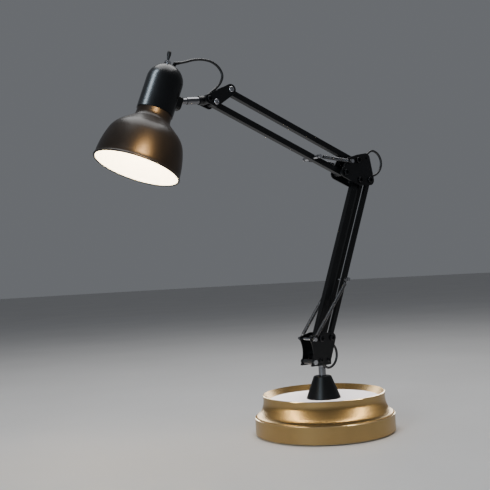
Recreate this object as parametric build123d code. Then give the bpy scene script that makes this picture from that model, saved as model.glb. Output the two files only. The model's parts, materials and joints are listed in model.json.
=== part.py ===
from build123d import *
from math import asin, cos, pi, radians, sin, sqrt, tan
import os

# Swing arm desk lamp. Millimetres, +Z up, origin at the centre of the underside of the base.
# The arm lies in the XZ plane: the head is on the -X side, the near side of the lamp is -Y.
# Every piece is written as its own file in parts/, at its place in the rest pose.

# ---------------------------------------------------------------- driving dimensions
SLIP = 0.1                  # radial clearance of a turning fit

BASE_R = 105.0              # lower band of the base
BASE_RIM_R = 91.6           # top rim of the base
BASE_RIM_Z = 59.2
BAND_TOP_Z = 27.0           # lip on top of the lower band
SHELL_T = 1.6               # wall of the spun brass shell
INLAY_R = 82.4              # white dish floor
INLAY_Z = 50.5
FOOT_T = 1.2                # rubber foot pad

CONE_FOOT_R = 26.0
CONE_TOP_R = 13.2
CONE_TOP_Z = 84.0
SPINDLE_R = 5.5

BLOCK_Z = 101.0             # swivel block, underside
BLOCK_H = 14.0
PLATE_IN = 12.0             # inner face of the bracket and elbow plates, from the arm plane
PLATE_T = 2.0
HEAD_PLATE_IN = 9.5
HEAD_PLATE_T = 1.8

LOWER_LEN = 257.0           # pivot to pivot
LOWER_LEAN = 21.2           # degrees from vertical at rest
UPPER_LEN = 244.0
UPPER_RISE = 23.1           # degrees above horizontal at rest
A1 = (-8.5, 141.0)          # foot pivot of the front bar, in the arm plane
PAIR_GAP = 19.8             # front bar pivot to rear bar pivot
ELBOW_STEP = (-27.3, 11.4)  # top pivot of the front bar to the pivot of the upper arm's lower bar
LINK = (25.5, 19.4)         # lower bar pivot to top bar pivot of the upper arm

FRONT_BAR = (10.0, 9.0)     # width in the arm plane, depth across it
REAR_BAR = (6.8, 6.0)
REAR_BAR_Y = 8.3
REAR_BAR_TAILS = (8.0, 10.0)  # ends beyond the foot pivot and the top pivot
UPPER_BAR = (8.6, 8.6)
BAR_WALL = 1.0

BOLT_R = 2.5
BOLT_HEAD = (4.5, 3.0)      # radius, height
NUT_AF = 8.0
NUT_H = 3.6
SPACER_R = 4.2

SPRING_Y = 17.6             # springs run outside the plates
SPRING_R = 2.8
SPRING_HOOK = 8.0           # straight hook at each end of a spring
PIN_R = 2.0
SLEEVE_R = 3.0              # chrome sleeves on the pins, beside the bars
PIN_END = 21.0              # half length of the pins that carry the springs
LOWER_SPRING_EAR = (-24.0, 141.0)
LOWER_SPRING_UP = 92.0      # along the rear bars, from the foot pivot
UPPER_SPRING_EAR = (66.0, 408.5)
UPPER_SPRING_OUT = 58.0     # along the lower bar, from the elbow pivot

HEAD_RIM = (-289.8, 392.2)  # centre of the shade's opening
HEAD_TILT = 22.0            # lean of the head's axis from vertical
HEAD_LEN = 155.2            # opening to top of dome
SHADE_R = 59.0
SHEET = 1.2
NECK_R = 25.5
NECK_Z = 83.2               # lower edge of the neck housing, along the head's axis
STEM_RISE = 6.0             # degrees
KNUCKLE = (-177.8, 491.6)
KNUCKLE_R = 6.0
STEM_STEP = 31.0            # end of the stem's sleeve, from the knuckle pivot
STEM_LEFT = 12.0            # rod from the sleeve into the neck boss
BOSS_S = 110.6              # neck boss, along the head's axis
SWITCH_P = -4.0             # switch, across the head's axis
GLAND_P = 5.0               # cord gland, across the head's axis
GLAND_TALL = 7.2            # height of its nozzle above the dome
GLAND_REACH = 6.5           # nozzle, from the gland's axis
GLAND_RISE = 12.0           # degrees above horizontal
LEVER_S = HEAD_LEN - 1.0    # lever pivot, along the head's axis
LEVER_LEAN = -8.0

FLEX_R = 1.8                # lamp flex, 3.6 mm
FLEX_Y = -8.3               # plane of the flex loops at the elbow and the bracket
FLEX_HOLES = (-6.0, 264.5)  # holes in the back of the near rear bar, from its foot pivot

# ---------------------------------------------------------------- worked-out places
lean = radians(LOWER_LEAN)
rise = radians(UPPER_RISE)
LOWER_DIR = (sin(lean), cos(lean))
UPPER_DIR = (-cos(rise), sin(rise))


def along(point, direction, distance):
    """A point of the arm plane, moved by distance along a direction."""
    return (point[0] + direction[0] * distance, point[1] + direction[1] * distance)


A2 = along(A1, (1, 0), PAIR_GAP)
B1 = along(A1, LOWER_DIR, LOWER_LEN)
B2 = along(A2, LOWER_DIR, LOWER_LEN)
C2 = along(B1, ELBOW_STEP, 1)
C1 = along(C2, LINK, 1)
D2 = along(C2, UPPER_DIR, UPPER_LEN)
D1 = along(D2, LINK, 1)
BAR_BACK = Vector(LOWER_DIR[1], 0, -LOWER_DIR[0])
LOWER_SPRING_PIN = along(A2, LOWER_DIR, LOWER_SPRING_UP)
UPPER_SPRING_PIN = along(C2, UPPER_DIR, UPPER_SPRING_OUT)
STEM_DIR = (-cos(radians(STEM_RISE)), -sin(radians(STEM_RISE)))
HEAD_PLACE = Pos(HEAD_RIM[0], 0, HEAD_RIM[1]) * Rot(0, HEAD_TILT, 0)
GLAND_TURN = asin(GLAND_P / NECK_R)
GLAND_PLACE = (Pos(GLAND_P, 0, HEAD_LEN - NECK_R + NECK_R * cos(GLAND_TURN))
               * Rot(0, GLAND_TURN * 180 / pi, 0))
GLAND_TOP = (HEAD_PLACE * GLAND_PLACE * Pos(0, 0, GLAND_TALL)).position
GLAND_KNEE = Pos(*GLAND_TOP) * Rot(0, 90 - GLAND_RISE, 0)

os.makedirs("parts", exist_ok=True)


def save(name, *solids):
    """Write the solids of one node."""
    shape = solids[0] if len(solids) == 1 else Compound(children=list(solids))
    export_step(shape, f"parts/{name}.step")


# ---------------------------------------------------------------- shared shapes
def rod_y(point, radius, y0, y1):
    """A round rod along Y at a point of the arm plane."""
    place = Pos(point[0], (y0 + y1) / 2, point[1]) * Rot(90, 0, 0)
    return place * Cylinder(radius, y1 - y0)


def tube_y(point, radius, bore, y0, y1):
    return rod_y(point, radius, y0, y1) - rod_y(point, bore, y0 - 1, y1 + 1)


def hex_y(point, across_flats, y0, y1):
    """A hexagonal prism along Y."""
    outline = RegularPolygon(across_flats / 2, 6, major_radius=False)
    place = Pos(point[0], y1, point[1]) * Rot(90, 0, 0)
    return place * extrude(outline, amount=y1 - y0)


def bolt_y(point, near_y, far_y, tail=NUT_H + 1.4, shank=BOLT_R, head=BOLT_HEAD):
    """A socket head bolt along Y, head on the near side, ending past its nut."""
    shaft = rod_y(point, shank, near_y, far_y + tail)
    cap = rod_y(point, head[0], near_y - head[1], near_y)
    cap = fillet(cap.edges().group_by(Axis.Y)[0], head[1] * 0.35)
    socket = hex_y(point, head[0] * 0.85, near_y - head[1] - 1, near_y - head[1] * 0.4)
    return shaft + cap - socket


def nut_y(point, y0, across_flats=NUT_AF, height=NUT_H, bore=BOLT_R + 0.05):
    return hex_y(point, across_flats, y0, y0 + height) - rod_y(point, bore, y0 - 1, y0 + height + 1)


def lobed_plate(y0, y1, lobes, holes, cuts=()):
    """A flat plate in the arm plane: the outline stretched round its lobes (x, z, radius)."""
    rims = [edge for x, z, r in lobes for edge in (Pos(x, z) * Circle(r)).edges()]
    outline = make_hull(rims)
    for x, z, r in cuts:
        outline -= Pos(x, z) * Circle(r)
    plate = Pos(0, y1, 0) * extrude(Plane.XZ * outline, amount=y1 - y0)
    for point, radius in holes:
        plate -= rod_y(point, radius, y0 - 1, y1 + 1)
    return plate


def bar(start, direction, length, section, y=0.0, tails=None):
    """A square tube between two pivots. Without tails its side walls end round the pivots."""
    width, depth = section
    flat = Plane(origin=(start[0], y, start[1]), x_dir=(direction[0], 0, direction[1]), z_dir=(0, -1, 0))
    if tails is None:
        outline = Pos(length / 2, 0) * SlotCenterToCenter(length, width)
    else:
        outline = Pos((length + tails[1] - tails[0]) / 2, 0) * Rectangle(length + sum(tails), width)
    body = flat * extrude(outline, amount=depth / 2, both=True)
    bore = Box(length + 4 * width + 40, width - 2 * BAR_WALL, depth - 2 * BAR_WALL)
    body -= flat * (Pos(length / 2, 0, 0) * bore)
    for point in (start, along(start, direction, length)):
        body -= rod_y(point, BOLT_R + SLIP, y - depth, y + depth)
    return body


def spring_core(start, end, y):
    """The outline of a coil spring between two pins, without its hooks."""
    run = Vector(end[0] - start[0], 0, end[1] - start[1])
    length = run.length - 2 * SPRING_HOOK
    first = Vector(start[0], y, start[1]) + run.normalized() * SPRING_HOOK
    return Plane(origin=first, z_dir=run) * (Pos(0, 0, length / 2) * Cylinder(SPRING_R, length))


def flex(name, points):
    """A flex along a route: straight runs joined by the largest arcs that they allow."""
    route = [Vector(*p) for p in points]
    radii = []
    for before, corner, after in zip(route, route[1:], route[2:]):
        first, second = corner - before, after - corner
        turn = radians(first.get_angle(second))
        radii.append(0.45 * min(first.length, second.length) / tan(turn / 2))
    path = FilletPolyline(*route, radius=radii)
    tube = sweep(Plane(origin=path @ 0, z_dir=path % 0) * Circle(FLEX_R), path=path)
    share = tube.volume / (path.length * pi * FLEX_R ** 2)
    rounded = [round(radius, 1) for radius in radii]
    print(name, "length", round(path.length, 1), "radii", rounded, "volume", round(share, 4))
    save(name, tube)


# ---------------------------------------------------------------- base
def base():
    band_in = BASE_R - SHELL_T
    flare_top = (BASE_RIM_R - 0.3, BASE_RIM_Z - 7.2)
    big_r, big_turn = 36.0, radians(28)
    small_r, small_end = 16.0, radians(62)
    big_c = (flare_top[0] + big_r, flare_top[1])
    knee = (big_c[0] - big_r * cos(big_turn), big_c[1] - big_r * sin(big_turn))
    big_mid = (big_c[0] - big_r * cos(big_turn / 2), big_c[1] - big_r * sin(big_turn / 2))
    small_c = (knee[0] + small_r * cos(big_turn), knee[1] + small_r * sin(big_turn))
    half = (big_turn + small_end) / 2
    small_mid = (small_c[0] - small_r * cos(half), small_c[1] - small_r * sin(half))
    foot = (small_c[0] - small_r * cos(small_end), small_c[1] - small_r * sin(small_end))

    skin = (Line((BASE_R, FOOT_T + 1.2), (BASE_R, BAND_TOP_Z - 0.6))
            + Line((BASE_R, BAND_TOP_Z - 0.6), (BASE_R - 0.6, BAND_TOP_Z))
            + Line((BASE_R - 0.6, BAND_TOP_Z), (BASE_R - 1.4, BAND_TOP_Z))
            + Line((BASE_R - 1.4, BAND_TOP_Z), (foot[0] + 0.4, BAND_TOP_Z - 1.4))
            + Line((foot[0] + 0.4, BAND_TOP_Z - 1.4), foot)
            + ThreePointArc(foot, small_mid, knee)
            + ThreePointArc(knee, big_mid, flare_top)
            + Line(flare_top, (BASE_RIM_R, BASE_RIM_Z - 0.9))
            + ThreePointArc((BASE_RIM_R, BASE_RIM_Z - 0.9), (BASE_RIM_R - 0.3, BASE_RIM_Z - 0.25),
                            (BASE_RIM_R - 0.9, BASE_RIM_Z))
            + Line((BASE_RIM_R - 0.9, BASE_RIM_Z), (INLAY_R + 0.2, INLAY_Z - 0.6))
            + Line((INLAY_R + 0.2, INLAY_Z - 0.6), (INLAY_R + 0.2, INLAY_Z - 2.2))
            + Line((INLAY_R + 0.2, INLAY_Z - 2.2), (INLAY_R - 6, INLAY_Z - 2.2))
            + Line((INLAY_R - 6, INLAY_Z - 2.2), (INLAY_R - 6, INLAY_Z - 3.8))
            + Line((INLAY_R - 6, INLAY_Z - 3.8), (flare_top[0] - SHELL_T, INLAY_Z - 3.8))
            + ThreePointArc((flare_top[0] - SHELL_T, INLAY_Z - 3.8), (knee[0] - 2.6, knee[1] - 0.4),
                            (foot[0] - 3.2, foot[1] - 2.6))
            + Line((foot[0] - 3.2, foot[1] - 2.6), (band_in, BAND_TOP_Z - 5.4))
            + Line((band_in, BAND_TOP_Z - 5.4), (band_in, FOOT_T))
            + Line((band_in, FOOT_T), (BASE_R - 1.2, FOOT_T))
            + Line((BASE_R - 1.2, FOOT_T), (BASE_R, FOOT_T + 1.2)))
    shell = revolve(Plane.XZ * make_face(skin), Axis.Z)
    inlet_z = 12.0
    inlet = Pos(0, BASE_R, inlet_z) * Rot(90, 0, 0)
    save("base_shell", shell - inlet * Cylinder(5, 12))

    inlay = Pos(0, 0, INLAY_Z - 1.1) * Cylinder(INLAY_R, 2.2)
    bore = Pos(0, 0, 40) * Cylinder(SPINDLE_R + 0.05, 200)
    save("base_inlay", inlay - bore)

    ballast_r, ballast_low, ballast_top, hub_top = 88.0, FOOT_T + 2.1, 20.0, INLAY_Z - 2.3
    disc = Pos(0, 0, (ballast_top + ballast_low) / 2) * Cylinder(ballast_r, ballast_top - ballast_low)
    hub = Pos(0, 0, (hub_top + ballast_low) / 2) * Cylinder(18, hub_top - ballast_low)
    ballast = chamfer(disc.edges().group_by(Axis.Z)[-1], 3) + hub
    pocket = Pos(0, 0, 8) * Cylinder(14, 8.2)
    save("ballast_weight", ballast - pocket - bore)

    screw_ring = PolarLocations(60, 4)
    bottom = Pos(0, 0, FOOT_T + 1) * Cylinder(band_in - 0.3, 2)
    for spot in screw_ring:
        bottom -= Pos(0, 0, FOOT_T + 1) * spot * Cylinder(2.2, 6)
    save("base_plate", bottom)
    pad = Pos(0, 0, FOOT_T / 2) * Cylinder(98, FOOT_T)
    for spot in screw_ring:
        pad -= spot * Cylinder(4.6, 6)
    save("foot_pad", pad)
    screws = []
    for spot in screw_ring:
        head = Pos(0, 0, FOOT_T - 0.45) * Cylinder(4, 0.9) - Pos(0, 0, FOOT_T - 0.9) * Box(6, 0.9, 0.8)
        screws.append(spot * (head + Pos(0, 0, FOOT_T + 1) * Cylinder(2.1, 2)))
    save("base_plate_screws", *screws)

    flange = inlet * (Pos(0, 0, -1) * Cylinder(7.2, 4)) - Pos(0, 0, inlet_z) * Cylinder(BASE_R + 0.05, 40)
    throat = inlet * (Pos(0, 0, 0.5) * Cylinder(4.9, 7))
    save("cord_grommet", flange + throat - inlet * Cylinder(3.2, 20))

    cone_line = Polyline((0, INLAY_Z), (CONE_FOOT_R, INLAY_Z), (CONE_FOOT_R - 0.3, INLAY_Z + 1.2),
                         (CONE_TOP_R + 0.4, CONE_TOP_Z - 1.2), (CONE_TOP_R - 0.8, CONE_TOP_Z), (0, CONE_TOP_Z),
                         close=True)
    cone = revolve(Plane.XZ * make_face(cone_line), Axis.Z)
    save("cone_column", cone - bore)

    spindle_top = BLOCK_Z + BLOCK_H + 6.4
    spindle = Pos(0, 0, (6 + spindle_top) / 2) * Cylinder(SPINDLE_R, spindle_top - 6)
    collar_z = BLOCK_Z - 1.6
    spindle += Pos(0, 0, collar_z) * Cylinder(SPINDLE_R + 1.2, 2.6)
    flex_bore = Pos(0, 0, 60) * Cylinder(2.4, 140)
    save("spindle", spindle - flex_bore)
    low_nut = Pos(0, 0, 6) * extrude(RegularPolygon(9, 6, major_radius=False), amount=5.8)
    top_nut = Pos(0, 0, BLOCK_Z + BLOCK_H + 0.4) * extrude(RegularPolygon(8, 6, major_radius=False), amount=4.6)
    save("spindle_nuts", low_nut - bore, top_nut - bore)


# ---------------------------------------------------------------- swivel bracket
def swivel_bracket():
    front, back = -16.5, 9.0
    block = Pos((front + back) / 2, 0, BLOCK_Z + BLOCK_H / 2) * Box(back - front, 2 * PLATE_IN - 0.1, BLOCK_H)
    block = fillet(block.edges().filter_by(Axis.Y), 1.5)
    spindle_bore = Pos(0, 0, BLOCK_Z) * Cylinder(SPINDLE_R + SLIP, 60)
    screw_spots = ((-11.0, 109.0), (3.0, 108.5))
    for spot in screw_spots:
        block -= rod_y(spot, 1.7, -PLATE_IN - 1, -7.2) + rod_y(spot, 1.7, 7.2, PLATE_IN + 1)
    cord_way = Plane(origin=(2.0, FLEX_Y - 0.6, 95.6), z_dir=(-1, 0, 1))
    cord_bore = cord_way * (Pos(0, 0, 9) * Cylinder(FLEX_R + 0.4, 18))
    save("swivel_block", block - spindle_bore - cord_bore)

    clamp = (-23.0, 107.0)
    lobes = ((*A1, 8.5), (*A2, 7.5), (2.5, 105.0, 4.0), (-28.0, 104.0, 3.0), (*LOWER_SPRING_EAR, 4.6))
    cut = ((-64.5, 122.0, 40.0),)
    holes = [(A1, BOLT_R + SLIP), (A2, BOLT_R + SLIP), (LOWER_SPRING_EAR, PIN_R + 0.05), (clamp, 2.05)]
    holes += [(spot, 1.8) for spot in screw_spots]
    save("bracket_plate_near", lobed_plate(-PLATE_IN - PLATE_T, -PLATE_IN, lobes, holes, cut))
    save("bracket_plate_far", lobed_plate(PLATE_IN, PLATE_IN + PLATE_T, lobes, holes, cut))

    outer = PLATE_IN + PLATE_T
    screws = []
    for spot in screw_spots:
        near = bolt_y(spot, -outer, -outer, tail=outer - 7.6, shank=1.65, head=(3.1, 2.0))
        screws += [near, mirror(near, about=Plane.XZ)]
    save("bracket_screws", *screws)
    clamp_bolt = rod_y(clamp, 2, -outer, outer + 5) + hex_y(clamp, 7, -outer - 3, -outer)
    save("clamp_bolt", clamp_bolt)
    save("lower_spring_anchor", spring_pin(LOWER_SPRING_EAR, outer + 0.05))
    save("lower_pivot_bolts", bolt_y(A1, -outer, outer), bolt_y(A2, -outer, outer))
    save("bracket_nuts", nut_y(A1, outer), nut_y(A2, outer), nut_y(clamp, outer, 7, 3.2, 2.05))
    inner = FRONT_BAR[1] / 2 + 0.1
    save("bracket_spacers", tube_y(A1, SPACER_R, BOLT_R + 0.05, -PLATE_IN + 0.05, -inner),
         tube_y(A1, SPACER_R, BOLT_R + 0.05, inner, PLATE_IN - 0.05),
         tube_y(clamp, 3.6, 2.05, -PLATE_IN + 0.05, PLATE_IN - 0.05))


def spring_pin(point, inner):
    """A cross pin with a sleeve from inner to each spring hook, and a shoulder outside the hook."""
    pin = rod_y(point, PIN_R, -PIN_END, PIN_END)
    for side in (-1, 1):
        y0, y1 = sorted((side * (SPRING_Y + 1.6), side * PIN_END))
        pin += rod_y(point, PIN_R + 0.9, y0, y1)
        y0, y1 = sorted((side * inner, side * (SPRING_Y - 1.6)))
        pin += rod_y(point, SLEEVE_R, y0, y1)
    return pin


# ---------------------------------------------------------------- lower arm
def lower_arm():
    for side, name in ((-1, "near"), (1, "far")):
        rail = bar(A2, LOWER_DIR, LOWER_LEN, REAR_BAR, side * REAR_BAR_Y, REAR_BAR_TAILS)
        rail -= rod_y(LOWER_SPRING_PIN, PIN_R + 0.05, side * REAR_BAR_Y - 5, side * REAR_BAR_Y + 5)
        if side == -1:
            for step in FLEX_HOLES:
                spot = along(A2, LOWER_DIR, step)
                hole = Plane(origin=(spot[0], -REAR_BAR_Y, spot[1]), z_dir=BAR_BACK)
                rail -= hole * (Pos(0, 0, 4) * Cylinder(FLEX_R + 0.6, 6))
        save(f"lower_rear_bar_{name}", rail)
    save("lower_spring_pin", spring_pin(LOWER_SPRING_PIN, REAR_BAR_Y + REAR_BAR[1] / 2 + 0.05))
    gap = REAR_BAR_Y - REAR_BAR[1] / 2 - 0.05
    save("rear_bar_spacers", *[tube_y(p, SPACER_R, BOLT_R + SLIP, -gap, gap) for p in (A2, B2)])
    save("lower_front_bar", bar(A1, LOWER_DIR, LOWER_LEN, FRONT_BAR))


# ---------------------------------------------------------------- elbow
def elbow():
    guide = (98.5, 414.5)
    lobes = ((*C2, 8.5), (*UPPER_SPRING_EAR, 6.5), (*C1, 8.5), (*guide, 8.0), (*B2, 8.5), (*B1, 8.5))
    pivots = (B1, B2, C1, C2)
    holes = [(p, BOLT_R + SLIP) for p in pivots] + [(UPPER_SPRING_EAR, PIN_R + 0.05), (guide, 1.8)]
    outer = PLATE_IN + PLATE_T
    save("elbow_plate_near", lobed_plate(-outer, -PLATE_IN, lobes, holes))
    save("elbow_plate_far", lobed_plate(PLATE_IN, outer, lobes, holes))
    save("elbow_bolts", *[bolt_y(p, -outer, outer) for p in pivots])
    save("elbow_nuts", *[nut_y(p, outer) for p in pivots])
    spacers = []
    for point, section in ((B1, FRONT_BAR), (C1, UPPER_BAR), (C2, UPPER_BAR)):
        inner = section[1] / 2 + 0.1
        spacers.append(tube_y(point, SPACER_R, BOLT_R + 0.05, -PLATE_IN + 0.05, -inner))
        spacers.append(tube_y(point, SPACER_R, BOLT_R + 0.05, inner, PLATE_IN - 0.05))
    save("elbow_spacers", *spacers)
    studs = []
    for side in (-1, 1):
        y0, y1 = sorted((side * (PLATE_IN - 2), side * PIN_END))
        stud = rod_y(UPPER_SPRING_EAR, PIN_R, y0, y1)
        y0, y1 = sorted((side * (SPRING_Y + 1.6), side * PIN_END))
        stud += rod_y(UPPER_SPRING_EAR, PIN_R + 0.9, y0, y1)
        y0, y1 = sorted((side * (PLATE_IN - 2), side * (PLATE_IN - 0.05)))
        studs.append(stud + rod_y(UPPER_SPRING_EAR, PIN_R + 1.2, y0, y1))
    save("elbow_spring_studs", *studs)
    block = rod_y(guide, 5.0, -PLATE_IN + 0.05, PLATE_IN - 0.05)
    exit_dir = Vector(1, 0, 1).normalized()
    nose = Plane(origin=(guide[0], -REAR_BAR_Y, guide[1]), z_dir=exit_dir)
    save("elbow_cord_guide", block + nose * (Pos(0, 0, 3.2) * Cylinder(3.0, 6.4)))


# ---------------------------------------------------------------- upper arm and head bracket
def upper_arm():
    pin_hole = rod_y(UPPER_SPRING_PIN, PIN_R + 0.05, -6, 6)
    save("upper_bottom_bar", bar(C2, UPPER_DIR, UPPER_LEN, UPPER_BAR) - pin_hole)
    save("upper_spring_pin", spring_pin(UPPER_SPRING_PIN, UPPER_BAR[1] / 2 + 0.05))
    save("upper_top_bar", bar(C1, UPPER_DIR, UPPER_LEN, UPPER_BAR))


def head_bracket():
    outer = HEAD_PLATE_IN + HEAD_PLATE_T
    lobes = ((*D1, 8.0), (*D2, 6.5), (*KNUCKLE, 6.5))
    holes = [(p, BOLT_R + SLIP) for p in (D1, D2, KNUCKLE)]
    save("head_plate_near", lobed_plate(-outer, -HEAD_PLATE_IN, lobes, holes))
    save("head_plate_far", lobed_plate(HEAD_PLATE_IN, outer, lobes, holes))
    head = (4.0, 2.6)
    pivots = (D1, D2, KNUCKLE)
    save("head_bracket_bolts", *[bolt_y(p, -outer, outer, head=head) for p in pivots])
    save("head_bracket_nuts", *[nut_y(p, outer, 7.4, 3.4) for p in pivots])
    inner = UPPER_BAR[1] / 2 + 0.1
    spacers = []
    for point in (D1, D2):
        spacers.append(tube_y(point, SPACER_R, BOLT_R + 0.05, -HEAD_PLATE_IN + 0.05, -inner))
        spacers.append(tube_y(point, SPACER_R, BOLT_R + 0.05, inner, HEAD_PLATE_IN - 0.05))
    save("head_bracket_spacers", *spacers)


# ---------------------------------------------------------------- knuckle and stem
def stem_rod(radius, start, end, bore=0.0):
    """A round piece along the stem, between two distances from the knuckle pivot."""
    origin = along(KNUCKLE, STEM_DIR, start)
    place = Plane(origin=(origin[0], 0, origin[1]), z_dir=(STEM_DIR[0], 0, STEM_DIR[1]))
    length = end - start
    piece = Pos(0, 0, length / 2) * Cylinder(radius, length)
    if bore:
        piece -= Pos(0, 0, length / 2) * Cylinder(bore, length + 2)
    return place * piece


def knuckle():
    half = HEAD_PLATE_IN - 0.2
    eye = rod_y(KNUCKLE, KNUCKLE_R, -half, half)
    socket = stem_rod(6.4, 3.5, 12.0)
    body = eye + socket - rod_y(KNUCKLE, BOLT_R + SLIP, -half - 1, half + 1)
    save("knuckle", body)
    save("stem_sleeve", stem_rod(5.2, 12.0, STEM_STEP - 0.2, bore=3.1))


# ---------------------------------------------------------------- head
def shade_wall(inset):
    """Corners of the spun shade's half section, (radius, height), moved inward by inset."""
    side_r, side_turn = 130.0, asin(41.0 / 130.0)
    shoulder_r, shoulder_end = 36.0, radians(50)
    throat_r = 12.0
    collar_r = NECK_R - SHEET - 0.1
    side_c = (SHADE_R - side_r, 0.0)
    reach = side_r - shoulder_r
    shoulder_c = (side_c[0] + reach * cos(side_turn), side_c[1] + reach * sin(side_turn))
    ux, uz = cos(shoulder_end), sin(shoulder_end)
    top = (shoulder_c[0] + shoulder_r * ux, shoulder_c[1] + shoulder_r * uz)
    slope = (top[0] - throat_r * (1 - ux) - collar_r) / uz
    throat_c = (top[0] - slope * uz + throat_r * ux, top[1] + slope * ux + throat_r * uz)

    def on(centre, radius, angle):
        return (centre[0] + radius * cos(angle), centre[1] + radius * sin(angle))

    side = [on(side_c, side_r - inset, a) for a in (0, side_turn / 2, side_turn)]
    mid = (side_turn + shoulder_end) / 2
    shoulder = [on(shoulder_c, shoulder_r - inset, a) for a in (side_turn, mid, shoulder_end)]
    throat = [on(throat_c, -throat_r - inset, a) for a in (shoulder_end, shoulder_end / 2, 0)]
    return side, shoulder, throat


def shade():
    collar_top = NECK_Z + 8.0
    outer, inner = shade_wall(0.0), shade_wall(SHEET)
    edges = []
    for side, shoulder, throat in (outer, inner):
        edges += [ThreePointArc(*side), ThreePointArc(*shoulder), Line(shoulder[2], throat[0])]
        edges += [ThreePointArc(*throat), Line(throat[2], (throat[2][0], collar_top))]
    edges += [Line(outer[0][0], inner[0][0])]
    edges += [Line((outer[2][2][0], collar_top), (inner[2][2][0], collar_top))]
    wall = revolve(Plane.XZ * make_face(edges), Axis.Z)
    bead = revolve(Plane.XZ * (Pos(SHADE_R - 0.2, 1.0) * Circle(1.4)), Axis.Z)
    save("shade", HEAD_PLACE * (wall + bead))


def neck_housing():
    dome_z = HEAD_LEN - NECK_R
    inner = NECK_R - SHEET

    def outline(radius, low):
        point = radius / sqrt(2)
        half = (Line((0, low), (radius, low)) + Line((radius, low), (radius, dome_z))
                + ThreePointArc((radius, dome_z), (point, dome_z + point), (0, dome_z + radius))
                + Line((0, dome_z + radius), (0, low)))
        return revolve(Plane.XZ * make_face(half), Axis.Z)

    housing = outline(NECK_R, NECK_Z) - outline(inner, NECK_Z - 5)
    housing -= Pos(SWITCH_P, 0, HEAD_LEN) * Cylinder(3.15, 12)
    housing -= GLAND_PLACE * Cylinder(2.6, 8)
    housing -= Pos(NECK_R, 0, BOSS_S) * Rot(0, 90, 0) * Cylinder(2.1, 8)
    save("neck_housing", HEAD_PLACE * housing)


def head_fittings():
    boss = Pos(NECK_R + 1.5, 0, BOSS_S) * Box(9, 15, 19)
    boss = fillet(boss.edges().filter_by(Axis.X), 4)
    boss -= Pos(0, 0, BOSS_S) * Cylinder(NECK_R + 0.02, 60)
    boss -= Pos(NECK_R, 0, BOSS_S) * Rot(0, 90, 0) * Cylinder(2.1, 30)
    front, back = STEM_STEP, STEM_STEP + STEM_LEFT
    save("neck_boss", HEAD_PLACE * boss - stem_rod(4.35, front, back))
    save("stem_rod", stem_rod(4.3, front, back - 0.1) + stem_rod(3.0, 14.0, front))

    screw = Pos(22.6, 0, BOSS_S) * Rot(0, 90, 0) * (Cylinder(4, 2.4) + Pos(0, 0, 2.4) * Cylinder(2.0, 4))
    save("neck_screw", HEAD_PLACE * screw)

    ring = Pos(0, 0, NECK_Z + 6.4) * (Cylinder(NECK_R - 2.6, 3) - Cylinder(18, 6))
    save("shade_ring", HEAD_PLACE * ring)
    holder_low, holder_top = NECK_Z + 5.0, NECK_Z + 42.0
    middle = (holder_low + holder_top) / 2
    holder = Pos(0, 0, middle) * Cylinder(17.8, holder_top - holder_low)
    holder = fillet(holder.edges().group_by(Axis.Z)[-1], 3)
    holder -= Pos(0, 0, holder_low + 14.5) * Cylinder(14.6, 29.2)
    save("lampholder", HEAD_PLACE * holder)
    thread = Pos(0, 0, holder_low + 16) * (Cylinder(14.5, 25) - Cylinder(13.9, 30))
    tab = Pos(0, 0, holder_low + 28.3) * Cylinder(3, 1.4)
    save("lampholder_contacts", HEAD_PLACE * thread, HEAD_PLACE * tab)

    cap_low = holder_low + 1.5
    cap = Pos(0, 0, cap_low + 11) * Cylinder(13.2, 22)
    cap = chamfer(cap.edges().group_by(Axis.Z)[-1], 2)
    save("bulb_cap", HEAD_PLACE * (cap + Pos(0, 0, cap_low + 23) * Cylinder(4, 2.2)))
    ball_r, ball_s, stem_r = 22.5, 57.0, 13.6

    def bulb(ball, stem):
        join = ball_s + sqrt(ball ** 2 - stem ** 2)
        half = (Line((0, ball_s - ball), (0, cap_low)) + Line((0, cap_low), (stem, cap_low))
                + Line((stem, cap_low), (stem, join))
                + ThreePointArc((stem, join), (ball, ball_s), (0, ball_s - ball)))
        return revolve(Plane.XZ * make_face(half), Axis.Z)

    save("bulb_glass", HEAD_PLACE * (bulb(ball_r, stem_r) - bulb(ball_r - 0.8, stem_r - 0.8)))

    switch = Pos(SWITCH_P, 0, HEAD_LEN - 14.5) * Box(11, 11, 15)
    save("switch_body", HEAD_PLACE * switch)
    bore = Pos(SWITCH_P, 0, HEAD_LEN) * Cylinder(2.35, 30)
    bush = Pos(SWITCH_P, 0, HEAD_LEN - 0.7) * Cylinder(3.05, 11.4)
    washer = Pos(SWITCH_P, 0, HEAD_LEN + 0.6) * Cylinder(5.2, 1.0)
    nut = Pos(SWITCH_P, 0, HEAD_LEN + 1.1) * extrude(RegularPolygon(4.5, 6, major_radius=False), amount=2.6)
    save("switch_bush", HEAD_PLACE * (bush + washer + nut - bore))

    gland = HEAD_PLACE * GLAND_PLACE * (Pos(0, 0, -1.5) * Cylinder(2.5, 5) + Pos(0, 0, 1.0) * Cylinder(3.2, 1.8)
                                        + Pos(0, 0, GLAND_TALL / 2) * Cylinder(2.5, GLAND_TALL))
    nozzle = GLAND_KNEE * (Sphere(2.5) + Pos(0, 0, GLAND_REACH / 2) * Cone(2.5, 2.1, GLAND_REACH))
    save("cord_gland", gland + nozzle)


def switch_lever():
    pivot = Pos(SWITCH_P, 0, LEVER_S) * Rot(0, LEVER_LEAN, 0)
    grip = revolve(Plane.XZ * make_face(Polyline((0, 0), (1.1, 0), (1.3, 6.5), (2.9, 15.5), (2.8, 18.6),
                                                 (1.9, 20.4), (0, 21.0), close=True)), Axis.Z)
    save("switch_lever", HEAD_PLACE * pivot * (grip + Sphere(1.7)))


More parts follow.
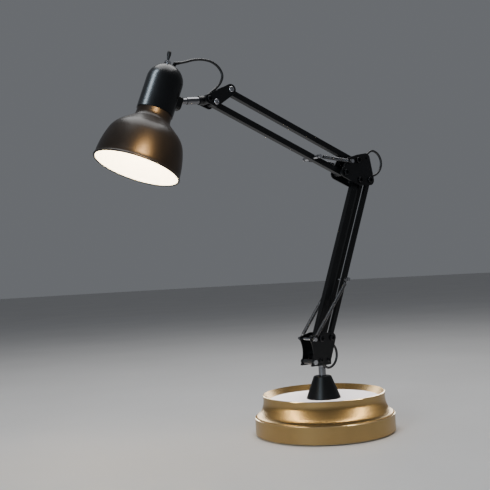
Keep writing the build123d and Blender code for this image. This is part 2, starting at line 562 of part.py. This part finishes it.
# ---------------------------------------------------------------- springs and flex
def springs():
    sides = (-SPRING_Y, SPRING_Y)
    save("lower_springs", *[spring_core(LOWER_SPRING_EAR, LOWER_SPRING_PIN, y) for y in sides])
    save("upper_springs", *[spring_core(UPPER_SPRING_EAR, UPPER_SPRING_PIN, y) for y in sides])


def flexes():
    first = (GLAND_KNEE * Pos(0, 0, GLAND_REACH)).position
    second = (GLAND_KNEE * Pos(0, 0, GLAND_REACH + 8)).position
    flex("head_flex", [(first.X, 0, first.Z), (second.X, 0, second.Z), (-193.0, 2.6, 548.6),
                       (-176.0, 4.8, 551.2), (-160.0, 6.4, 549.6), (-148.6, 7.0, 542.4),
                       (-143.0, 7.0, 531.6), (-147.0, 7.0, 520.6), (-156.0, 6.8, 511.4),
                       (-166.0, 6.2, 504.4), (-173.4, 5.6, 497.6)])
    flex("elbow_flex", [(103.2, -8.3, 419.2), (109.0, -8.3, 425.2), (117.5, -8.3, 428.6), (128.0, -8.3, 424.0),
                        (134.2, -8.3, 414.5), (134.2, -8.3, 403.5), (128.5, -8.3, 394.0), (119.2, -8.3, 388.2),
                        (110.3, -8.3, 386.5)])
    flex("base_flex", [(12.5, -8.3, 134.1), (18.8, -8.3, 128.6), (23.0, -8.4, 119.5), (22.6, -8.6, 109.5),
                       (18.0, -8.8, 100.8), (10.0, -8.9, 95.6), (2.0, -8.9, 95.6), (-5.4, -8.9, 103.0)])


base()
swivel_bracket()
lower_arm()
elbow()
upper_arm()
head_bracket()
knuckle()
shade()
neck_housing()
head_fittings()
switch_lever()
springs()
flexes()
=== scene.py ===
import json
from math import asin, cos, pi, radians, sin, sqrt, tau

import bmesh
import bpy
from mathutils import Matrix, Vector


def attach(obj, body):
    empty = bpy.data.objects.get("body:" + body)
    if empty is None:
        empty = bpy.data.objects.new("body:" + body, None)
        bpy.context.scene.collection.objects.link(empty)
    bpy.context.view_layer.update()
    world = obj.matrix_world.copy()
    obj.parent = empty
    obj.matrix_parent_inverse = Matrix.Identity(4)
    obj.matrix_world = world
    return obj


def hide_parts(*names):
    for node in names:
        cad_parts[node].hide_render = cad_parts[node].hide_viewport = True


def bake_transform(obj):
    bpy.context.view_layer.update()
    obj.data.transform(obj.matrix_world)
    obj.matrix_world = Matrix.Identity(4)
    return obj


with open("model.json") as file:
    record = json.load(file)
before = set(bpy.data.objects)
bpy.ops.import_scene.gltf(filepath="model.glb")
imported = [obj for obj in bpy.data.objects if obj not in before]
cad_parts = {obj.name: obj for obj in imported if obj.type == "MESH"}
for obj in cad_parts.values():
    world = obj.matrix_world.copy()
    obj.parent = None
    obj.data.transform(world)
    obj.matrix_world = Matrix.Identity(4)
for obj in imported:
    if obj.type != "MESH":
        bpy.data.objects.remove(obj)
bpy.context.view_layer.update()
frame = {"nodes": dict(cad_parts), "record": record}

# Looks of the swing arm desk lamp. Metres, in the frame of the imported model: +Z up, the arm in
# the XZ plane, the head on the -X side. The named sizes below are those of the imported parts.

# ---------------------------------------------------------------- places and sizes
BASE_R = 0.105
BASE_RIM_R, BASE_RIM_Z = 0.0916, 0.0592
BAND_TOP_Z = 0.027
KNUCKLE = Vector((-0.1778, 0, 0.4916))

HEAD_RIM = Vector((-0.2898, 0, 0.3922))
HEAD_TILT = radians(22)
SHADE_R = 0.059
SHEET = 0.0012
SHADE_TURNS = 160
NECK_R = 0.0255
NECK_LOW = 0.0832

SPRING_Y = 0.0176
SPRING_R = 0.0028
SPRING_HOOK = 0.008
WIRE_R = 0.00042
COIL_PITCH = 2.3   # from coil to coil, in wire radii
COIL_STEPS = 14    # points in a turn
HOOK_STEPS = 24
HOOK_START, HOOK_SWEEP = -75, 255  # degrees
PIN_R = 0.002
LOWER_EAR = Vector((-0.024, 0, 0.141))
LOWER_PIN = Vector((0.04457, 0, 0.22677))
UPPER_EAR = Vector((0.066, 0, 0.4085))
UPPER_PIN = Vector((0.00379, 0, 0.41477))

FLEX_D = 0.0036
HEAD_FLEX = [(-0.21690, 0.0, 0.54114), (-0.20907, 0.0, 0.54280), (-0.1930, 0.0026, 0.5486),
             (-0.1760, 0.0048, 0.5512), (-0.1600, 0.0064, 0.5496), (-0.1486, 0.0070, 0.5424),
             (-0.1430, 0.0070, 0.5316), (-0.1470, 0.0070, 0.5206), (-0.1560, 0.0068, 0.5114),
             (-0.1660, 0.0062, 0.5044), (-0.1734, 0.0056, 0.4976)]
ELBOW_FLEX = [(0.1032, -0.0083, 0.4192), (0.1090, -0.0083, 0.4252), (0.1175, -0.0083, 0.4286),
              (0.1280, -0.0083, 0.4240), (0.1342, -0.0083, 0.4145), (0.1342, -0.0083, 0.4035),
              (0.1285, -0.0083, 0.3940), (0.1192, -0.0083, 0.3882), (0.1103, -0.0083, 0.3865)]
BASE_FLEX = [(0.0125, -0.0083, 0.1341), (0.0188, -0.0083, 0.1286), (0.0230, -0.0084, 0.1195),
             (0.0226, -0.0086, 0.1095), (0.0180, -0.0088, 0.1008), (0.0100, -0.0089, 0.0956),
             (0.0020, -0.0089, 0.0956), (-0.0054, -0.0089, 0.1030)]

CAMERA = (-0.749, -0.998, 0.250)
VIEW_YAW = radians(32)
VIEW_PITCH = 0.030
VIEW_ROLL = 0.054
FILM_WIDTH, LENS = 36, 60.15  # millimetres


# ---------------------------------------------------------------- camera
def add_camera():
    level = cos(VIEW_PITCH)
    forward = Vector((sin(VIEW_YAW) * level, cos(VIEW_YAW) * level, sin(VIEW_PITCH)))
    right = Vector((cos(VIEW_YAW), -sin(VIEW_YAW), 0))
    up = right.cross(forward)
    across = right * cos(VIEW_ROLL) - up * sin(VIEW_ROLL)
    over = right * sin(VIEW_ROLL) + up * cos(VIEW_ROLL)
    data = bpy.data.cameras.new("camera")
    data.sensor_width = FILM_WIDTH
    data.lens = LENS
    camera = bpy.data.objects.new("camera", data)
    bpy.context.collection.objects.link(camera)
    turn = Matrix((across, over, -forward)).transposed().to_4x4()
    camera.matrix_world = Matrix.Translation(CAMERA) @ turn
    bpy.context.scene.camera = camera


# ---------------------------------------------------------------- mesh helpers
def add_object(name, mesh):
    piece = bpy.data.objects.new(name, mesh)
    bpy.context.collection.objects.link(piece)
    return piece


def mesh_from(name, bm, sharp=radians(35)):
    """A smooth-shaded mesh whose edges over the sharp angle stay crisp."""
    bmesh.ops.recalc_face_normals(bm, faces=bm.faces)
    for face in bm.faces:
        face.smooth = True
    for edge in bm.edges:
        edge.smooth = not edge.is_manifold or edge.calc_face_angle(0) < sharp
    mesh = bpy.data.meshes.new(name)
    bm.to_mesh(mesh)
    bm.free()
    return mesh


def arc(centre, radius, start, end, steps):
    """Points (r, z) of an arc, from one angle to another."""
    angles = [start + (end - start) * i / steps for i in range(steps + 1)]
    return [(centre[0] + radius * cos(a), centre[1] + radius * sin(a)) for a in angles]


def circle(turns):
    """The cosine and sine of each of the evenly spaced angles of a full turn."""
    return [(cos(tau * i / turns), sin(tau * i / turns)) for i in range(turns)]


def lathe(bm, outline, turns, paint):
    """Turn an outline of (r, z) points round Z."""
    rings = []
    for r, z in outline:
        rings.append([bm.verts.new((r * c, r * s, z)) for c, s in circle(turns)])
    for low, high in zip(rings, rings[1:]):
        for i in range(turns):
            j = (i + 1) % turns
            bm.faces.new((low[i], low[j], high[j], high[i])).material_index = paint


def wire(bm, path, radius, sides):
    """A round wire along a path, its ends closed with flat caps."""
    path = [Vector(p) for p in path]
    tangents = [(b - a).normalized() for a, b in zip(path, path[1:])]
    tangents = [tangents[0]] + [(a + b).normalized() for a, b in zip(tangents, tangents[1:])] + [tangents[-1]]
    side = tangents[0].orthogonal().normalized()
    rings = []
    for point, tangent in zip(path, tangents):
        side = (side - tangent * side.dot(tangent)).normalized()
        other = tangent.cross(side)
        rings.append([bm.verts.new(point + (side * c + other * s) * radius) for c, s in circle(sides)])
    for low, high in zip(rings, rings[1:]):
        for i in range(sides):
            j = (i + 1) % sides
            bm.faces.new((low[i], low[j], high[j], high[i]))
    bm.faces.new(rings[0])
    bm.faces.new(rings[-1])


# ---------------------------------------------------------------- node helpers
class Paint:
    """A new material with short ways to add nodes."""

    def __init__(self, name):
        self.material = bpy.data.materials.new(name)
        self.material.use_nodes = True
        self.tree = self.material.node_tree
        self.shader = self.tree.nodes["Principled BSDF"]

    def set(self, **values):
        for key, value in values.items():
            self.shader.inputs[key.replace("_", " ")].default_value = value
        return self

    def node(self, kind, **settings):
        node = self.tree.nodes.new("ShaderNode" + kind)
        for key, value in settings.items():
            setattr(node, key, value)
        return node

    def link(self, source, target):
        self.tree.links.new(source, target)

    def scaled(self, sizes):
        """Object coordinates, stretched by three factors."""
        coords = self.node("TexCoord")
        mapping = self.node("Mapping")
        mapping.inputs["Scale"].default_value = sizes
        self.link(coords.outputs["Object"], mapping.inputs["Vector"])
        return mapping.outputs["Vector"]

    def noise(self, vector, scale, detail=3.0, roughness=0.55):
        node = self.node("TexNoise")
        node.inputs["Scale"].default_value = scale
        node.inputs["Detail"].default_value = detail
        node.inputs["Roughness"].default_value = roughness
        self.link(vector, node.inputs["Vector"])
        return node.outputs["Fac"]

    def spread(self, value, low, high, start=0.0, end=1.0):
        """The value, mapped from start..end to low..high."""
        node = self.node("MapRange")
        for key, number in (("From Min", start), ("From Max", end), ("To Min", low), ("To Max", high)):
            node.inputs[key].default_value = number
        self.link(value, node.inputs["Value"])
        return node.outputs["Result"]

    def tint(self, value, low, high):
        """A colour between two, by value."""
        ramp = self.node("ValToRGB")
        ramp.color_ramp.elements[0].color = (*low, 1)
        ramp.color_ramp.elements[1].color = (*high, 1)
        ramp.color_ramp.elements[0].position = 0.3
        ramp.color_ramp.elements[1].position = 0.7
        self.link(value, ramp.inputs["Fac"])
        self.link(ramp.outputs["Color"], self.shader.inputs["Base Color"])

    def bump(self, height, strength, distance):
        node = self.node("Bump")
        node.inputs["Strength"].default_value = strength
        node.inputs["Distance"].default_value = distance
        self.link(height, node.inputs["Height"])
        self.link(node.outputs["Normal"], self.shader.inputs["Normal"])


# ---------------------------------------------------------------- materials
def spun_brass_painted_dark():
    """Satin brass with fine rings left by the brushing, which run round Z. Its colour is darkened far below
    that of bare brass: painted shade for the dark reflection across the middle of the drum.
    """
    paint = Paint("spun brass painted dark").set(Metallic=1.0, Anisotropic=0.9)
    coords = paint.node("TexCoord")
    axes = paint.node("SeparateXYZ")
    paint.link(coords.outputs["Object"], axes.inputs[0])
    flat = paint.node("CombineXYZ")
    paint.link(axes.outputs[0], flat.inputs[0])
    paint.link(axes.outputs[1], flat.inputs[1])
    radius = paint.node("VectorMath", operation="LENGTH")
    paint.link(flat.outputs[0], radius.inputs[0])
    rings = paint.node("CombineXYZ")
    paint.link(radius.outputs["Value"], rings.inputs[0])
    paint.link(axes.outputs[2], rings.inputs[2])
    stretch = paint.node("VectorMath", operation="MULTIPLY")
    stretch.inputs[1].default_value = (2600, 0, 2600)
    paint.link(rings.outputs[0], stretch.inputs[0])
    drift = paint.node("VectorMath", operation="MULTIPLY")
    drift.inputs[1].default_value = (14, 14, 0)
    paint.link(coords.outputs["Object"], drift.inputs[0])
    lines = paint.node("VectorMath", operation="ADD")
    paint.link(stretch.outputs[0], lines.inputs[0])
    paint.link(drift.outputs[0], lines.inputs[1])
    brushing = paint.noise(lines.outputs[0], 1.0, detail=4.0, roughness=0.7)
    cloud = paint.noise(paint.scaled((1, 1, 1)), 26.0, detail=2.0)
    mixed = paint.node("Math", operation="MULTIPLY_ADD")
    mixed.inputs[1].default_value = 0.35
    paint.link(cloud, mixed.inputs[0])
    paint.link(paint.spread(brushing, 0.1, 0.55), mixed.inputs[2])
    # Dark tones of brass: painted shade standing for the dark reflection on the drum.
    paint.tint(mixed.outputs[0], (0.31, 0.205, 0.080), (0.43, 0.295, 0.130))
    paint.link(paint.spread(brushing, 0.20, 0.30), paint.shader.inputs["Roughness"])
    paint.bump(brushing, 0.25, 0.00006)
    tangent = paint.node("Tangent", direction_type="RADIAL", axis="Z")
    paint.link(tangent.outputs[0], paint.shader.inputs["Tangent"])
    return paint.material


def polished_brass_painted_highlight():
    # Brass far paler than the brushed brass of the drum, with a little less roughness for the polish: the
    # paleness is a painted highlight along the lips.
    paint = Paint("polished brass edge painted highlight").set(Metallic=1.0)
    grain = paint.noise(paint.scaled((1, 1, 1)), 300.0)
    paint.tint(grain, (0.80, 0.63, 0.38), (0.92, 0.76, 0.52))
    paint.link(paint.spread(grain, 0.16, 0.26), paint.shader.inputs["Roughness"])
    return paint.material


def enamel(name, low, high, glow=0.0):
    paint = Paint(name).set(IOR=1.5, Coat_Weight=0.15, Coat_Roughness=0.2)
    cloud = paint.noise(paint.scaled((1, 1, 1)), 18.0)
    paint.tint(cloud, low, high)
    peel = paint.noise(paint.scaled((1, 1, 1)), 900.0, detail=1.0)
    paint.link(paint.spread(peel, 0.3, 0.42), paint.shader.inputs["Roughness"])
    paint.bump(peel, 0.08, 0.0001)
    # A glow makes the enamel give off light though it is no lamp: painted light.
    if glow:
        paint.set(Emission_Color=(1.0, 0.86, 0.62, 1), Emission_Strength=glow)
    return paint.material


def black_coat(name, gloss, grain):
    """Near-black paint with the fine grain of a powder coat."""
    paint = Paint(name).set(IOR=1.5, Specular_IOR_Level=0.36)
    speck = paint.noise(paint.scaled((1, 1, 1)), 3200.0, detail=2.0)
    cloud = paint.noise(paint.scaled((1, 1, 1)), 40.0)
    paint.tint(cloud, (0.0016, 0.0017, 0.0020), (0.0036, 0.0038, 0.0044))
    paint.link(paint.spread(speck, *gloss, 0.3, 0.7), paint.shader.inputs["Roughness"])
    paint.bump(speck, grain, 0.00012)
    return paint.material


def bright_metal(name, low, high, rough):
    paint = Paint(name).set(Metallic=1.0)
    grain = paint.noise(paint.scaled((1, 1, 1)), 700.0)
    paint.tint(grain, low, high)
    paint.link(paint.spread(grain, *rough), paint.shader.inputs["Roughness"])
    paint.bump(grain, 0.05, 0.00004)
    return paint.material


def moulded(name, low, high, rough=(0.42, 0.58)):
    """Moulded plastic or rubber with a faint grain."""
    paint = Paint(name)
    grain = paint.noise(paint.scaled((1, 1, 1)), 1500.0)
    paint.tint(grain, low, high)
    paint.link(paint.spread(grain, *rough), paint.shader.inputs["Roughness"])
    paint.bump(grain, 0.12, 0.0001)
    return paint.material


def lit_glass():
    """Opal glass of a lamp that is on."""
    paint = Paint("lit opal glass").set(Roughness=0.25)
    paint.set(Emission_Color=(1.0, 0.80, 0.52, 1), Emission_Strength=26.0)
    cloud = paint.noise(paint.scaled((1, 1, 1)), 60.0)
    paint.tint(cloud, (0.95, 0.88, 0.76), (1.0, 0.94, 0.84))
    return paint.material


BLACK = black_coat("black powder coat", (0.30, 0.42), 0.12)
SATIN = black_coat("black satin coat", (0.24, 0.34), 0.05)
FINISH = {
    "brass_spun": spun_brass_painted_dark(),
    "white_enamel": enamel("dish enamel", (0.74, 0.70, 0.72), (0.82, 0.78, 0.80)),
    "cast_iron": moulded("cast iron", (0.05, 0.05, 0.05), (0.11, 0.11, 0.11), (0.6, 0.8)),
    "zinc_steel": bright_metal("zinc plate", (0.42, 0.42, 0.43), (0.60, 0.60, 0.61), (0.3, 0.45)),
    "rubber_black": moulded("black rubber", (0.012, 0.012, 0.012), (0.02, 0.02, 0.02), (0.65, 0.85)),
    "black_powder_coat": BLACK,
    "shade_coat": BLACK,
    "chrome": bright_metal("chrome", (0.42, 0.42, 0.44), (0.58, 0.58, 0.60), (0.10, 0.18)),
    "dark_chrome": bright_metal("smoked chrome", (0.14, 0.14, 0.15), (0.22, 0.22, 0.23), (0.10, 0.17)),
    "black_oxide": bright_metal("blackened steel", (0.020, 0.020, 0.021), (0.045, 0.045, 0.047),
                                (0.22, 0.34)),
    "spring_steel": bright_metal("spring wire", (0.08, 0.08, 0.085), (0.15, 0.15, 0.155), (0.32, 0.42)),
    "black_plastic": moulded("black plastic", (0.008, 0.008, 0.009), (0.015, 0.015, 0.016)),
    "flex_black": moulded("black flex", (0.007, 0.007, 0.008), (0.012, 0.012, 0.013), (0.34, 0.46)),
    "contact_brass": bright_metal("contact brass", (0.60, 0.42, 0.18), (0.74, 0.54, 0.26), (0.25, 0.4)),
    "bulb_cap_metal": bright_metal("bulb cap", (0.55, 0.55, 0.56), (0.72, 0.72, 0.73), (0.25, 0.4)),
    "bulb_glass": lit_glass(),
}
SLOT_OF = {entry["node"]: entry["material_slot"] for entry in frame["record"]["subparts"]}
BODY_OF = {node: body for body, nodes in frame["record"]["behaviour"]["bodies"].items() for node in nodes}


def stands_for(piece, *nodes):
    """A new piece takes the place and the finish of CAD nodes."""
    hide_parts(*nodes)
    if not piece.data.materials:
        piece.data.materials.append(FINISH[SLOT_OF[nodes[0]]])


# ---------------------------------------------------------------- flex loops
def add_flex(node, route):
    """A flex loop: a round tube along a smooth curve through its route."""
    data = bpy.data.curves.new(node + "_route", "CURVE")
    data.dimensions = "3D"
    data.resolution_u = 16
    spline = data.splines.new("NURBS")
    spline.points.add(len(route) - 1)
    for point, place in zip(spline.points, route):
        point.co = (*place, 1)
    spline.order_u = 3
    spline.use_endpoint_u = True
    line = bpy.data.objects.new(node + "_route", data)
    path = [vert.co.copy() for vert in bpy.data.meshes.new_from_object(line).vertices]
    bpy.data.objects.remove(line)
    bm = bmesh.new()
    wire(bm, path, FLEX_D / 2, 14)
    tube = add_object(node.replace("_flex", "_flex_loop"), mesh_from(node, bm, radians(60)))
    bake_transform(tube)
    stands_for(tube, node)


def add_flexes():
    add_flex("head_flex", HEAD_FLEX)
    add_flex("elbow_flex", ELBOW_FLEX)
    add_flex("base_flex", BASE_FLEX)


# ---------------------------------------------------------------- springs
def spring_path(ear, pin, y):
    """A close-wound tension spring with a round hook at each end."""
    run = pin - ear
    length = run.length - 2 * SPRING_HOOK
    turns = round(length / (COIL_PITCH * WIRE_R))
    along = run.normalized()
    side = Vector((along.z, 0, -along.x))
    across = Vector((0, 1, 0))
    coil_r = SPRING_R - WIRE_R
    start = ear + along * SPRING_HOOK
    hook_r = PIN_R + WIRE_R + 0.0002
    path = []

    def eye(centre, outward):
        """The hook round a pin, from its open end to where it leaves for the coil."""
        points = []
        for i in range(HOOK_STEPS + 1):
            a = radians(HOOK_START + HOOK_SWEEP * i / HOOK_STEPS)
            points.append(centre + outward * sin(a) * hook_r + side * cos(a) * hook_r)
        return points

    path += [p + across * y for p in eye(ear, -along)]
    path.append(ear + along * (SPRING_HOOK * 0.7) - side * hook_r * 0.6 + across * y)
    steps = turns * COIL_STEPS
    for i in range(steps + 1):
        a = tau * i / COIL_STEPS + pi
        middle = start + along * length * i / steps
        path.append(middle + side * cos(a) * coil_r + across * (y + sin(a) * coil_r))
    tail = [p + across * y for p in eye(pin, along)]
    path.append(pin - along * (SPRING_HOOK * 0.7) - side * hook_r * 0.6 + across * y)
    path += reversed(tail)
    return path


def add_springs():
    for node, ear, pin, bodies in (("lower_springs", LOWER_EAR, LOWER_PIN, ("swivel_bracket", "lower_rear")),
                                   ("upper_springs", UPPER_EAR, UPPER_PIN, ("elbow", "upper_bottom"))):
        bm = bmesh.new()
        for y in (-SPRING_Y, SPRING_Y):
            wire(bm, spring_path(ear, pin, y), WIRE_R, 6)
        coils = add_object(node.replace("springs", "coil_springs"), mesh_from(node, bm, radians(80)))
        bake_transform(coils)
        stands_for(coils, node)


# ---------------------------------------------------------------- head
HEAD_PLACE = Matrix.Translation(HEAD_RIM) @ Matrix.Rotation(HEAD_TILT, 4, "Y")


def shade_profile(inset):
    """Half section of the spun shade, from the rim to the collar, moved inward by inset."""
    side_r, side_turn = 0.130, asin(41.0 / 130.0)
    shoulder_r, shoulder_end = 0.036, radians(50)
    throat_r = 0.012
    collar_r = NECK_R - SHEET - 0.0001
    side_c = (SHADE_R - side_r, 0.0)
    reach = side_r - shoulder_r
    shoulder_c = (side_c[0] + reach * cos(side_turn), side_c[1] + reach * sin(side_turn))
    ux, uz = cos(shoulder_end), sin(shoulder_end)
    top = (shoulder_c[0] + shoulder_r * ux, shoulder_c[1] + shoulder_r * uz)
    slope = (top[0] - throat_r * (1 - ux) - collar_r) / uz
    throat_c = (top[0] - slope * uz + throat_r * ux, top[1] + slope * ux + throat_r * uz)
    line = arc(side_c, side_r - inset, 0, side_turn, 12)
    line += arc(shoulder_c, shoulder_r - inset, side_turn, shoulder_end, 14)[1:]
    line += arc(throat_c, -throat_r - inset, shoulder_end, 0, 10)
    return line + [(line[-1][0], NECK_LOW + 0.008)]


def add_shade():
    """The spun shade: black outside with a rolled rim, white enamel inside that glows: painted light for the
    lit bulb shining on the lining.
    """
    outer, inner = shade_profile(0.0), shade_profile(SHEET)
    rim_c, rim_r = (SHADE_R - 0.0002, 0.001), 0.0014
    bead = arc(rim_c, rim_r, radians(-170), radians(60), 16)
    outer = bead + [p for p in outer if p[1] > rim_c[1] + rim_r]
    inner = [p for p in inner if p[1] > rim_c[1] + 0.0004]
    bm = bmesh.new()
    lathe(bm, outer + [inner[-1]], SHADE_TURNS, paint=0)
    lathe(bm, list(reversed(inner)) + [bead[0]], SHADE_TURNS, paint=1)
    bmesh.ops.remove_doubles(bm, verts=bm.verts, dist=1e-6)
    bm.transform(HEAD_PLACE)
    mesh = mesh_from("spun_shade", bm)
    mesh.materials.append(BLACK)
    # The lining's enamel glows: painted light standing for the bulb's light on the white inside of the shade.
    mesh.materials.append(enamel("shade enamel with painted glow", (0.88, 0.84, 0.76), (0.93, 0.90, 0.83), glow=2.6))
    shade = add_object("spun_shade", mesh)
    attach(shade, "head")
    stands_for(shade, "shade")


# ---------------------------------------------------------------- CAD pieces with eased edges
HARD_EDGE = radians(38)


def ease(node, width):
    """A copy of a CAD piece with its hard edges rounded, which stands for it."""
    bm = bmesh.new()
    bm.from_mesh(frame["nodes"][node].data)
    bmesh.ops.remove_doubles(bm, verts=bm.verts, dist=2e-6)
    bmesh.ops.dissolve_limit(bm, angle_limit=radians(0.5), verts=bm.verts, edges=bm.edges)
    hard = [e for e in bm.edges if e.is_manifold and e.calc_face_angle(0) > HARD_EDGE]
    bmesh.ops.bevel(bm, geom=hard, offset=width, segments=2, profile=0.5, affect="EDGES",
                    clamp_overlap=True)
    piece = add_object(node + "_eased", mesh_from(node + "_eased", bm))
    flatten = piece.modifiers.new("flat faces", "WEIGHTED_NORMAL")
    flatten.keep_sharp = True
    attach(piece, BODY_OF[node])
    stands_for(piece, node)
    return piece


EASED = {
    "bracket_plate_near": 0.00035, "bracket_plate_far": 0.00035,
    "elbow_plate_near": 0.00035, "elbow_plate_far": 0.00035,
    "head_plate_near": 0.00035, "head_plate_far": 0.00035,
    "lower_rear_bar_near": 0.0007, "lower_rear_bar_far": 0.0007, "lower_front_bar": 0.0008,
    "upper_bottom_bar": 0.0008, "upper_top_bar": 0.0008,
    "swivel_block": 0.0004, "neck_boss": 0.0006, "cone_column": 0.0005,
    "stem_rod": 0.0004, "stem_sleeve": 0.0005, "knuckle": 0.0004,
    "spindle": 0.0003, "spindle_nuts": 0.0003, "bracket_nuts": 0.0003,
    "elbow_nuts": 0.0003, "head_bracket_nuts": 0.0003, "lower_pivot_bolts": 0.0002,
    "elbow_bolts": 0.0002, "head_bracket_bolts": 0.0002, "clamp_bolt": 0.0003,
    "switch_bush": 0.0003, "cord_gland": 0.0003,
}


def dress():
    """Give every CAD node its finish, and ease the edges of the ones that show them."""
    for node, slot in SLOT_OF.items():
        carried = frame["nodes"][node]
        if node in EASED:
            ease(node, EASED[node])
        for place in carried.material_slots:
            place.material = SATIN if node == "neck_housing" else FINISH[slot]


def repaint(node, paint, wanted):
    """Give another paint to the faces of a piece whose centres are wanted."""
    mesh = node.data
    mesh.materials.append(paint)
    for face in mesh.polygons:
        if wanted(face.center):
            face.material_index = len(mesh.materials) - 1


def on_painted_highlight_lip(centre):
    """True on the lips of the base shell: its rim, its ledge and its lower edge, which get brass painted much
    paler than the drum: a painted highlight.
    """
    out = sqrt(centre.x ** 2 + centre.y ** 2)
    rim = out > BASE_RIM_R - 0.0014 and centre.z > BASE_RIM_Z - 0.0010
    ledge = out > BASE_R - 0.0016 and abs(centre.z - BAND_TOP_Z) < 0.0007
    return rim or ledge or (out > BASE_R - 0.0013 and centre.z < 0.0026)


def at_knuckle(centre):
    return (Vector((centre.x, 0, centre.z)) - KNUCKLE).length < 0.007


def pick_out():
    """The few faces of a piece that don't share its finish: the base shell's lips, painted pale as a painted
    highlight, and the blackened bolt faces at the knuckle.
    """
    repaint(frame["nodes"]["base_shell"], polished_brass_painted_highlight(), on_painted_highlight_lip)
    for node in ("head_bracket_bolts", "head_bracket_nuts"):
        repaint(bpy.data.objects[node + "_eased"], FINISH["black_oxide"], at_knuckle)


# ---------------------------------------------------------------- studio
def add_panel(name, place, aim, size, power, colour):
    data = bpy.data.lights.new(name, "AREA")
    data.shape = "RECTANGLE"
    data.size, data.size_y = size
    data.energy = power
    data.color = colour
    panel = bpy.data.objects.new(name, data)
    bpy.context.collection.objects.link(panel)
    panel.location = place
    panel.rotation_mode = "QUATERNION"
    panel.rotation_quaternion = (Vector(aim) - Vector(place)).to_track_quat("-Z", "Y")
    return panel


def around(degrees, distance, height):
    """A place round the base: degrees clockwise from the camera's side, seen from above."""
    turn = VIEW_YAW + radians(degrees)
    return (-sin(turn) * distance, -cos(turn) * distance, height)


def only_on(panel, *pieces):
    """The panel lights these pieces and nothing else."""
    group = bpy.data.collections.new(panel.name + " receivers")
    for piece in pieces:
        group.objects.link(piece)
    panel.light_linking.receiver_collection = group


def all_but(panel, *pieces):
    """The panel lights everything but these pieces."""
    group = bpy.data.collections.new(panel.name + " exceptions")
    for piece in pieces:
        group.objects.link(piece)
    for held in group.collection_objects:
        held.light_linking.link_state = "EXCLUDE"
    panel.light_linking.receiver_collection = group


def add_studio():
    bm = bmesh.new()
    bmesh.ops.create_circle(bm, cap_ends=True, radius=12, segments=128)
    floor = add_object("floor", mesh_from("floor", bm))
    paint = Paint("pale floor").set(Roughness=0.6)
    paint.tint(paint.noise(paint.scaled((1, 1, 1)), 3.0), (0.60, 0.59, 0.58), (0.64, 0.63, 0.62))
    floor.data.materials.append(paint.material)

    world = bpy.data.worlds.new("studio")
    world.use_nodes = True
    world.node_tree.nodes["Background"].inputs["Color"].default_value = (0.60, 0.63, 0.68, 1)
    world.node_tree.nodes["Background"].inputs["Strength"].default_value = 0.24
    bpy.context.scene.world = world

    warm, amber, cool, white = (1.0, 0.86, 0.64), (1.0, 0.56, 0.22), (0.74, 0.88, 1.0), (1.0, 0.97, 0.92)
    base, head = (0, 0, 0.04), (-0.26, 0, 0.47)
    brass, dish = frame["nodes"]["base_shell"], frame["nodes"]["base_inlay"]
    shade, neck = bpy.data.objects["spun_shade"], frame["nodes"]["neck_housing"]
    for name, degrees in (("left strip", 62), ("right strip", -62)):
        only_on(add_panel(name, around(degrees, 1.0, 0.70), base, (0.12, 1.4), 20.0, warm), brass)
    for name, degrees in (("left edge strip", 152), ("right edge strip", -152)):
        only_on(add_panel(name, around(degrees, 1.0, 0.35), base, (0.3, 0.6), 5.0, white), brass)
    only_on(add_panel("dish panel", (0, 0, 0.9), base, (0.6, 0.6), 24.0, white), dish)
    only_on(add_panel("neck panel", (-1.18, 0.18, 1.39), head, (0.35, 0.9), 26.0, cool), neck)
    all_but(add_panel("side panel", (-1.30, -0.62, 0.62), head, (0.35, 0.8), 9.0, cool), brass)
    all_but(add_panel("top panel", (0.1, 0.2, 1.7), base, (1.4, 1.4), 26.0, (1, 1, 1)), brass)
    glow = add_panel("lamp glow", (-0.39, -0.54, 0.64), head, (0.2, 0.2), 17.0, amber)
    only_on(glow, shade)


# ---------------------------------------------------------------- making
add_camera()
add_flexes()
add_springs()
add_shade()
dress()
pick_out()
add_studio()
